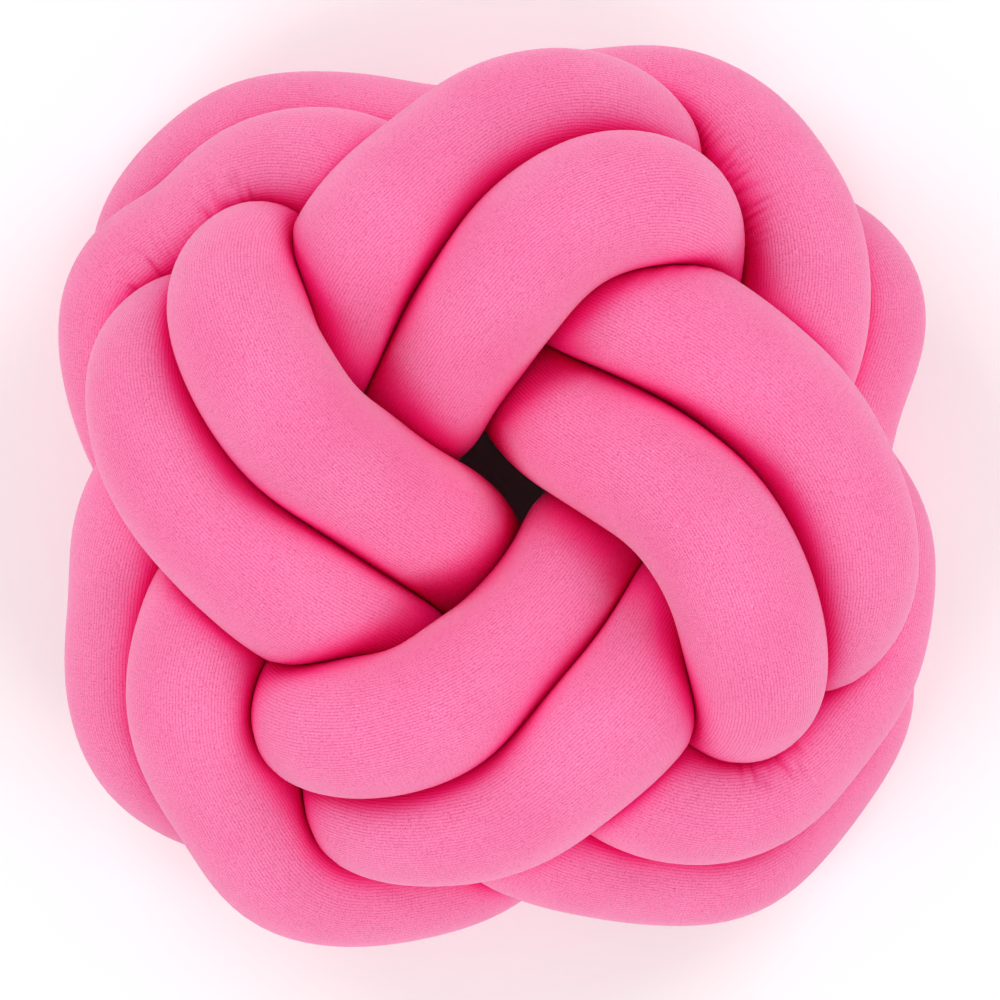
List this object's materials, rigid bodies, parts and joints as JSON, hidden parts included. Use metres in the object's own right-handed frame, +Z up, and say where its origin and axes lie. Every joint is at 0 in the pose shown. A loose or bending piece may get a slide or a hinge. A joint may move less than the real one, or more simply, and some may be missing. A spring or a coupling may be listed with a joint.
{
  "type": "knot cushion",
  "caption": "Round cushion made of a long padded knit tube that is plaited on itself into a flattened ball with a small hollow in its middle.",
  "frame": {"origin": "centre of the bounding box's underside, on the surface that the cushion lies on", "axes": "+Z up, out of the cushion's face; +Y towards the top edge of the face as pictured; +X to its right"},
  "size_m": [0.298, 0.3066, 0.1583],
  "materials": {
    "pink_knit": "soft matt fine knit jersey with a slight bloom"
  },
  "bodies": {
    "root": {"knot_tube": "pink_knit"}
  },
  "joints": []
}
